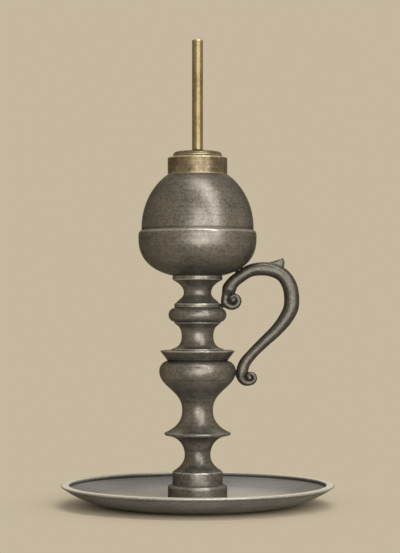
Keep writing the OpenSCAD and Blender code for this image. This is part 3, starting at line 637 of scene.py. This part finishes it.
class Recipe:
    """A node tree that is being written, for a material or for the world."""

    def __init__(self, owner):
        owner.use_nodes = True
        self.owner, self.tree = owner, owner.node_tree
        self.tree.nodes.clear()

    def node(self, kind, settings=None, inputs=None, output=0):
        """Adds a node, sets it, and gives its sockets their values or links."""
        node = self.tree.nodes.new(kind)
        for key, value in (settings or {}).items():
            setattr(node, key, value)
        for key, value in (inputs or {}).items():
            if isinstance(value, Value):
                self.tree.links.new(value.socket, node.inputs[key])
            else:
                node.inputs[key].default_value = value
        return Value(self, node.outputs[output]) if len(node.outputs) else node

    def place(self):
        """Object coordinates in millimetres."""
        where = self.node("ShaderNodeTexCoord", output=3)
        return self.node("ShaderNodeVectorMath", {"operation": "SCALE"}, {0: where, "Scale": 1 / MM})

    def noise(self, size, where, detail=2.0, rough=0.5):
        """Noise whose blotches are about size mm across, from 0 to 1."""
        return self.node("ShaderNodeTexNoise", {},
                         {"Vector": where, "Scale": 1 / size, "Detail": detail, "Roughness": rough})

    def vector(self, x, y, z):
        return self.node("ShaderNodeCombineXYZ", {}, {0: x, 1: y, 2: z})

    def step(self, value, low, high):
        """0 below low, 1 above high, and a soft slope between."""
        return self.node("ShaderNodeMapRange", {"interpolation_type": "SMOOTHSTEP"},
                         {"Value": value, "From Min": low, "From Max": high})

    def blend(self, share, first, second):
        """Colour between the first and the second."""
        return self.node("ShaderNodeMix", {"data_type": "RGBA"}, {0: share, 6: first, 7: second}, 2)

    # The stored bend: rubbed edges where it is positive, grime and painted shade where it is negative.
    def wear_and_shade(self):
        return self.node("ShaderNodeAttribute", {"attribute_name": "wear_and_shade"}, output=2)

    def surface(self, shader):
        self.node("ShaderNodeOutputMaterial", {}, {"Surface": shader})
        return self.owner


def paint(red, green, blue):
    """Linear colour from the usual 0 to 255."""
    c = np.array([red, green, blue]) / 255
    return (*np.where(c > 0.04045, ((c + 0.055) / 1.055) ** 2.4, c / 12.92).tolist(), 1)


print("middle grey in light:", round(paint(128, 128, 128)[0], 3))

# %% [markdown]
# ## Pewter
# Old pewter is a dull grey metal with a warm skin. Close by it is mottled in blotches of about
# two millimetres over a fine grain, and turning leaves faint lines round each piece. Rubbed
# edges are bright, and corners and hollows are darkened with grime and painted shade. Noise on
# the piece's own place gives all of that, and the bend that was stored with each point brings in
# the edges and the hollows.


# %% Pewter
def rings_round(recipe, where, size):
    """Noise that depends on radius and height only, so it draws lines round the piece."""
    x, y, z = (recipe.node("ShaderNodeSeparateXYZ", {}, {0: where}, k) for k in range(3))
    radius = (x * x + y * y) ** 0.5
    return recipe.noise(1, recipe.vector(radius * (1 / size), z * (1 / size), 0 * x), 3)


def pewter(name, dark, pale, rings, ring_size=1.2, over=None, metal=0.7, grazing=0.2):
    recipe = Recipe(bpy.data.materials.new(name))
    where, wear_and_shade = recipe.place(), recipe.wear_and_shade()
    cloud, mottle = recipe.noise(22, where), recipe.noise(2.2, where, 3, 0.6)
    grain, lines = recipe.noise(0.6, where, 2, 0.6), rings_round(recipe, where, ring_size)
    tone = 0.5 + (cloud - 0.5) * 0.45 + (mottle - 0.5) * 0.5 + (grain - 0.5) * 0.8 + (lines - 0.5) * rings
    colour = recipe.blend(recipe.step(tone, 0.2, 0.8), paint(*dark), paint(*pale))
    if over:
        colour, metal = over(recipe, where, colour, mottle, metal)
    rubbed = recipe.step(wear_and_shade + (mottle - 0.5) * 0.25, 0.1, 0.55)
    colour = recipe.blend(rubbed * 0.6, colour, paint(186, 181, 170))
    # Hollows and inner corners are darkened towards near black: grime and painted shade.
    dirt_and_shade = recipe.step(-1 * wear_and_shade + (mottle - 0.5) * 0.2, 0.06, 0.4)
    colour = recipe.blend(dirt_and_shade * 0.85, colour, paint(40, 36, 31))
    height = grain * 0.35 + mottle * 0.5 + lines * rings
    bump = recipe.node("ShaderNodeBump", {}, {"Strength": 0.35, "Distance": 0.12 * MM, "Height": height})
    return recipe.surface(recipe.node("ShaderNodeBsdfPrincipled", {}, {
        "Base Color": colour, "Metallic": metal, "Specular Tint": (grazing, grazing, grazing, 1),
        "Specular IOR Level": 0.2, "Normal": bump,
        "Roughness": 0.36 + (mottle - 0.5) * 0.2 - 0.08 * rubbed + 0.2 * dirt_and_shade}))


def dish_painted_light(recipe, where, colour, mottle, metal):
    """Painted light: inside, the dish gets a pale painted floor and painted shade up its side, and its flat band a
    painted reflection of the pale paper.
    """
    x, y, z = (recipe.node("ShaderNodeSeparateXYZ", {}, {0: where}, k) for k in range(3))
    radius = (x * x + y * y) ** 0.5
    past_flat = radius.maths("MAXIMUM", radius - flat_r, 0)
    underside = sweep_r - (sweep_r**2 - past_flat * past_flat) ** 0.5
    inside = recipe.step(z - underside, 0.5, 1.1)
    # Painted shade up the inner side of the dish, darker towards the rim.
    outwards = recipe.step(radius + (mottle - 0.5) * 8, 44, 70)
    colour = recipe.blend(inside * outwards * 0.6, colour, paint(78, 74, 70))
    # Painted light: the floor of the dish is made pale.
    painted_floor_light = inside * (1 - outwards)
    colour = recipe.blend(painted_floor_light * 0.8, colour, paint(208, 199, 180))
    # Painted reflection: the flat band round the rim is made nearly as pale as the paper.
    band = recipe.step(radius, 76.9, 77.3) * (1 - recipe.step(radius, 81.3, 81.8)) * recipe.step(z, 12, 12.3)
    return recipe.blend(band * 0.9, colour, paint(218, 210, 192)), metal - 0.3 * inside


body_pewter = pewter("old_pewter", (80, 76, 70), (131, 126, 117), 0.3)
dish_pewter = pewter("spun_pewter", (100, 97, 93), (156, 152, 146), 0.6, 1.6, dish_painted_light, 0.4, 0.3)
handle_cast = pewter("cast_pewter", (56, 53, 48), (97, 93, 86), 0.0)
print("pewter finishes:", body_pewter.name, dish_pewter.name, handle_cast.name)

# %% [markdown]
# ## Brass
# The brass has browned unevenly. The collar and the cap are handled most: they are mottled
# with pinkish and dark spots. The tube is drawn, so its lines run up it, and the flame's heat
# has left its middle warmer than its ends.


# %% Brass
def brass(name, dark, pale, spots, spot_share, drawn_lines=False):
    recipe = Recipe(bpy.data.materials.new(name))
    where, wear_and_shade = recipe.place(), recipe.wear_and_shade()
    x, y, z = (recipe.node("ShaderNodeSeparateXYZ", {}, {0: where}, k) for k in range(3))
    mottle, grain = recipe.noise(1.9, where, 3, 0.65), recipe.noise(0.45, where, 2)
    cloud = recipe.noise(9, where)
    if drawn_lines:
        lines = recipe.noise(1, recipe.vector(x * 2.2, y * 2.2, z * 0.05), 2)
    else:
        lines = rings_round(recipe, where, 0.7)
    tone = 0.5 + (cloud - 0.5) * 0.5 + (mottle - 0.5) * 0.8 + (grain - 0.5) * 0.4 + (lines - 0.5) * 0.3
    colour = recipe.blend(recipe.step(tone, 0.2, 0.8), paint(*dark), paint(*pale))
    if drawn_lines:
        warm = recipe.step(z, 214, 226) * (1 - recipe.step(z, 256, 272))
        colour = recipe.blend((1 - warm) * 0.5, colour, paint(142, 134, 98))
    spotted = recipe.step(recipe.noise(1.1, where, 3, 0.7), 0.56, 0.66) * spot_share
    colour = recipe.blend(spotted, colour, paint(*spots))
    rubbed = recipe.step(wear_and_shade + (mottle - 0.5) * 0.2, 0.12, 0.6)
    colour = recipe.blend(rubbed * 0.7, colour, paint(206, 190, 152))
    # Hollows and inner corners are darkened towards near black: grime and painted shade.
    dirt_and_shade = recipe.step(-1 * wear_and_shade + (mottle - 0.5) * 0.2, 0.06, 0.4)
    colour = recipe.blend(dirt_and_shade * 0.8, colour, paint(44, 36, 26))
    height = grain * 0.3 + mottle * 0.4 + lines * 0.4
    bump = recipe.node("ShaderNodeBump", {}, {"Strength": 0.3, "Distance": 0.08 * MM, "Height": height})
    return recipe.surface(recipe.node("ShaderNodeBsdfPrincipled", {}, {
        "Base Color": colour, "Metallic": 0.7, "Specular Tint": (0.4, 0.4, 0.4, 1),
        "Specular IOR Level": 0.2,
        "Roughness": 0.34 + (mottle - 0.5) * 0.25 + spotted * 0.15 + dirt_and_shade * 0.15, "Normal": bump}))


collar_brass = brass("browned_brass", (82, 72, 54), (140, 127, 104), (74, 60, 50), 0.5)
cap_brass = brass("cap_brass", (58, 54, 41), (95, 89, 69), (52, 47, 36), 0.4)
tube_brass = brass("drawn_brass", (106, 92, 64), (144, 127, 94), (96, 82, 58), 0.12, True)
print("brass finishes:", collar_brass.name, cap_brass.name, tube_brass.name)

# %% [markdown]
# ## Leather and cotton
# The washer is a ring of oiled leather, nearly black, with fine pores. The wick is unbleached
# cotton, charred at its tip, which is duller and darker than the rest.

# %% Leather and cotton
recipe = Recipe(bpy.data.materials.new("oiled_leather"))
where = recipe.place()
pores, patches = recipe.noise(0.25, where, 3, 0.7), recipe.noise(3, where)
bump = recipe.node("ShaderNodeBump", {}, {"Strength": 0.5, "Distance": 0.06 * MM, "Height": pores})
leather = recipe.surface(recipe.node("ShaderNodeBsdfPrincipled", {}, {
    "Base Color": recipe.blend(patches * 0.6 + pores * 0.4, paint(28, 20, 14), paint(78, 56, 38)),
    "Roughness": 0.5 + 0.3 * pores, "Normal": bump}))
recipe = Recipe(bpy.data.materials.new("braided_cotton"))
where = recipe.place()
height_up = recipe.node("ShaderNodeSeparateXYZ", {}, {0: where}, 2)
fibres, patches = recipe.noise(0.12, where, 3, 0.7), recipe.noise(1.5, where)
char = recipe.step(height_up + patches * 1.6, 277.4, 279.0)
bump = recipe.node("ShaderNodeBump", {}, {"Strength": 0.6, "Distance": 0.08 * MM, "Height": fibres})
cotton = recipe.surface(recipe.node("ShaderNodeBsdfPrincipled", {}, {
    "Base Color": recipe.blend(char, recipe.blend(fibres, paint(168, 152, 122), paint(214, 202, 176)),
                               paint(34, 28, 22)),
    "Roughness": 0.9, "Normal": bump}))
print("soft finishes:", leather.name, cotton.name)

# %% [markdown]
# ## Put each piece on the frame
# Each finished piece stands for its solid, rides on that solid's body, and takes its finish; the
# table also gives the slot that each finish belongs to. The burner's cap and tube share one
# body, and the wick has a body of its own.

# %% Dress the frame
WORN_BY = {
    "saucer": ("lamp", "saucer_pewter", dish_pewter), "foot_ring": ("lamp", "stem_pewter", body_pewter),
    "pedestal": ("lamp", "stem_pewter", body_pewter), "urn_lower": ("lamp", "stem_pewter", body_pewter),
    "urn_upper": ("lamp", "stem_pewter", body_pewter), "stem": ("lamp", "stem_pewter", body_pewter),
    "fount_neck": ("lamp", "stem_pewter", body_pewter), "fount_bowl": ("lamp", "fount_pewter", body_pewter),
    "fount_dome": ("lamp", "fount_pewter", body_pewter), "handle": ("lamp", "handle_pewter", handle_cast),
    "collar": ("lamp", "collar_brass", collar_brass), "washer": ("washer", "washer_leather", leather),
    "burner_cap": ("burner", "collar_brass", cap_brass), "wick_tube": ("burner", "tube_brass", tube_brass),
    "wick": ("wick", "wick_cotton", cotton),
}
for node, (body, slot, finish) in WORN_BY.items():
    piece = pieces[node]
    piece.data.materials.clear()
    piece.data.materials.append(finish)
    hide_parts(node)
    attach(piece, body)
print("dressed:", len(WORN_BY), "of", len(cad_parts))

# %% [markdown]
# ## Floor and paper
# The picture stands the lamp on warm, pale paper with no horizon. A wide round floor in the
# paper's colour takes the soft shadow under the dish, and turns see-through further out, so
# that it melts into the world behind.

# %% Floor
PAPER = paint(198, 184, 158)
a = np.linspace(0, 2 * np.pi, 96, endpoint=False)
disc = np.column_stack([3000 * np.cos(a), 3000 * np.sin(a), np.full(96, -0.15)])
floor = mesh_of("floor", disc, [np.arange(96)[None, :]], np.zeros(96))
recipe = Recipe(bpy.data.materials.new("paper"))
where = recipe.node("ShaderNodeTexCoord", output=3)
away = recipe.node("ShaderNodeVectorMath", {"operation": "LENGTH"}, {0: where}, 1)
lit = recipe.node("ShaderNodeBsdfDiffuse", {}, {"Color": PAPER})
clear = recipe.node("ShaderNodeBsdfTransparent")
floor.data.materials.append(recipe.surface(recipe.node(
    "ShaderNodeMixShader", {}, {0: recipe.step(away, 0.05, 0.13), 1: lit, 2: clear})))
print("floor:", 6, "m across")

# %% World
recipe = Recipe(bpy.data.worlds.new("room"))
seen = [recipe.node("ShaderNodeLightPath", output=k) for k in ("Is Camera Ray", "Is Glossy Ray", "Is Transmission Ray")]
direct = seen[0].maths("MAXIMUM", seen[0], seen[0].maths("MAXIMUM", seen[1], seen[2]))
soft = recipe.node("ShaderNodeBackground", {}, {"Color": (0.8, 0.79, 0.77, 1), "Strength": 0.1})
paper = recipe.node("ShaderNodeBackground", {}, {"Color": PAPER, "Strength": 1.0})
world_shader = recipe.node("ShaderNodeMixShader", {}, {0: direct, 1: soft, 2: paper})
recipe.node("ShaderNodeOutputWorld", {}, {"Surface": world_shader})
bpy.context.scene.world = recipe.owner

# %% [markdown]
# ## Lamps of the studio
# Two tall narrow soft boxes stand to the right of the camera, one low and one high. Their
# reflection is the soft pale stripe that runs down every turned part, a little right of the
# middle. A wide box just right of the camera fills the front, one overhead lights the dish, a
# low wide one in front lights the underside of the dish, and one behind keeps the sides alive.


# %% Soft boxes
def soft_box(name, azimuth, away, height, wide, high, power):
    """Area lamp at an angle from the camera's side, turned to the middle of the lamp."""
    lamp = bpy.data.lights.new(name, "AREA")
    lamp.shape, lamp.size, lamp.size_y, lamp.energy = "RECTANGLE", wide, high, power
    box = bpy.data.objects.new(name, lamp)
    a = np.radians(azimuth)
    box.location = (away * np.sin(a), -away * np.cos(a), height)
    aim = Vector((0, 0, 0.14)) - box.location
    box.rotation_euler = aim.to_track_quat("-Z", "Y").to_euler()
    box.visible_camera = False
    bpy.context.scene.collection.objects.link(box)
    return box


boxes = [
    soft_box("strip_right", 38, 1.2, 0.4, 0.14, 0.9, 5),
    soft_box("strip_high", 40, 0.7, 1.1, 0.12, 0.9, 6),
    soft_box("front", 6, 1.5, 0.35, 0.8, 1.5, 14),
    soft_box("overhead", 10, 0.3, 1.5, 0.6, 0.6, 4.5),
    soft_box("low_front", 0, 1.3, 0.02, 1.4, 0.3, 5),
    soft_box("behind", 180, 1.1, 1.2, 1.0, 1.0, 6),
]
print("soft boxes:", [box.name for box in boxes])
